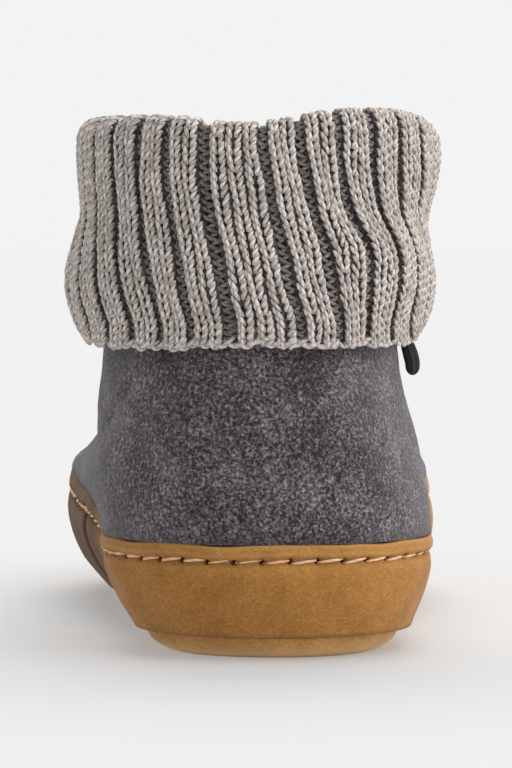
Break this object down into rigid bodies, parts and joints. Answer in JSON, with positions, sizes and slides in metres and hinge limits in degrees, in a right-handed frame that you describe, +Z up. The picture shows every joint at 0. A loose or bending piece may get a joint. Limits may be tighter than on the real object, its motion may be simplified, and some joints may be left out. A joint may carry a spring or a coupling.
{
  "type": "slipper boot",
  "caption": "Ankle-high right slipper boot: felt upper in a stitched suede cup, thin suede outsole, folded rib-knit cuff and a small blank side tab.",
  "frame": {"origin": "on the floor under the middle of the shoe's overall box", "axes": "+Y towards the toe, +Z up, +X towards the outer side of the right foot"},
  "size_m": [0.0998, 0.2638, 0.1304],
  "materials": {
    "sole_suede": "tan suede with the nap rubbed flat on the tread",
    "suede": "napped tan suede, stitched in peach thread",
    "insole_felt": "pressed grey wool felt",
    "felt": "mottled violet-grey boiled wool felt",
    "knit": "pale beige-grey chunky rib knit in soft wool yarn",
    "webbing": "black woven ribbon"
  },
  "bodies": {
    "root": {"outsole": "sole_suede", "suede_cup": "suede", "insole": "insole_felt", "upper": "felt", "cuff": "knit", "side_tab": "webbing"}
  },
  "joints": []
}
